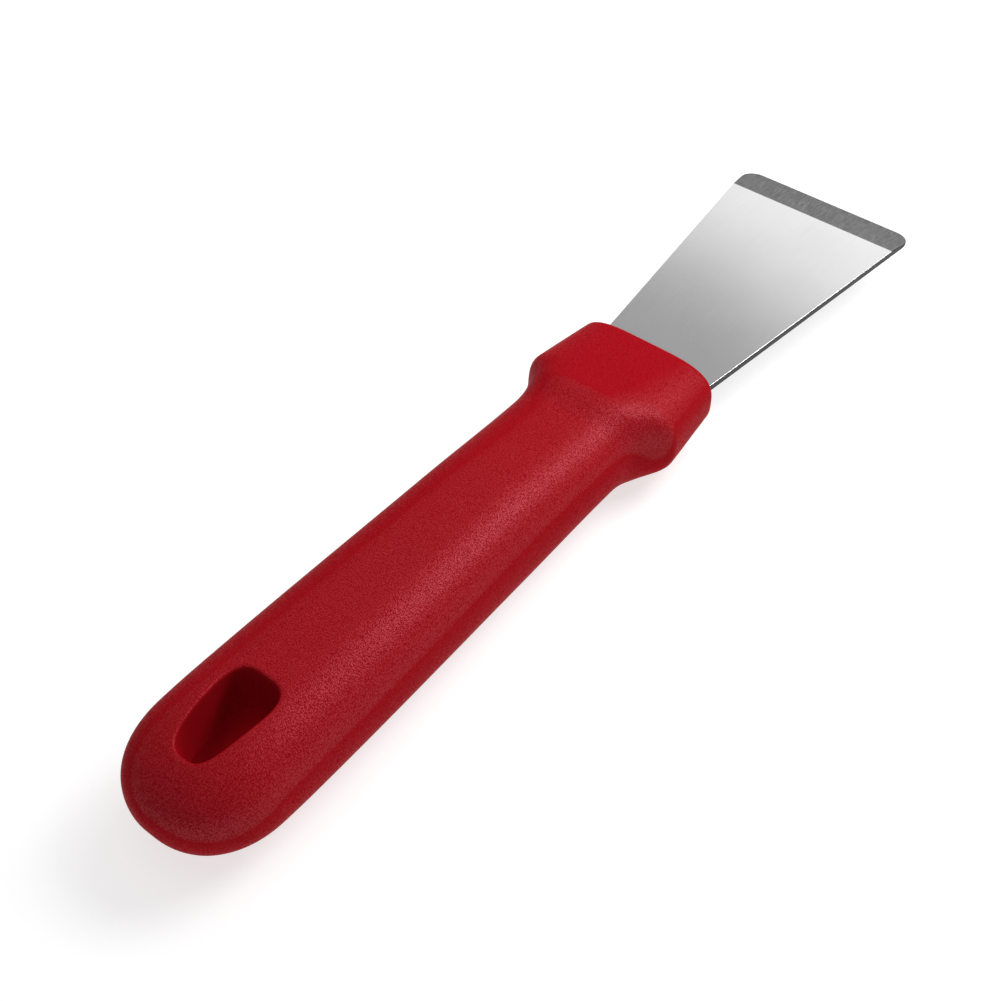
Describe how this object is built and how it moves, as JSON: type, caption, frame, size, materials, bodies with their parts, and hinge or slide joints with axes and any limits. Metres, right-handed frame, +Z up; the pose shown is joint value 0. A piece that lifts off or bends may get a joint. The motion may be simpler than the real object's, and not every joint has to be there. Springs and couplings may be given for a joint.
{
  "type": "hive tool",
  "caption": "Hive scraper: a flat stainless blade that widens to a ground edge, moulded into a rounded plastic handle with a guard and a hang slot.",
  "frame": {"origin": "on the surface that the tool lies on, below the middle of its bounding box", "axes": "+Y from the handle's butt to the blade's ground edge, +X to the right, +Z up, away from the underside"},
  "size_m": [0.0422, 0.21, 0.021],
  "materials": {
    "blade_steel": "satin stainless sheet with a finely ground edge",
    "handle_plastic": "fine-grained matte red moulding, smoother in the slot"
  },
  "bodies": {
    "root": {"blade": "blade_steel", "handle": "handle_plastic"}
  },
  "joints": []
}
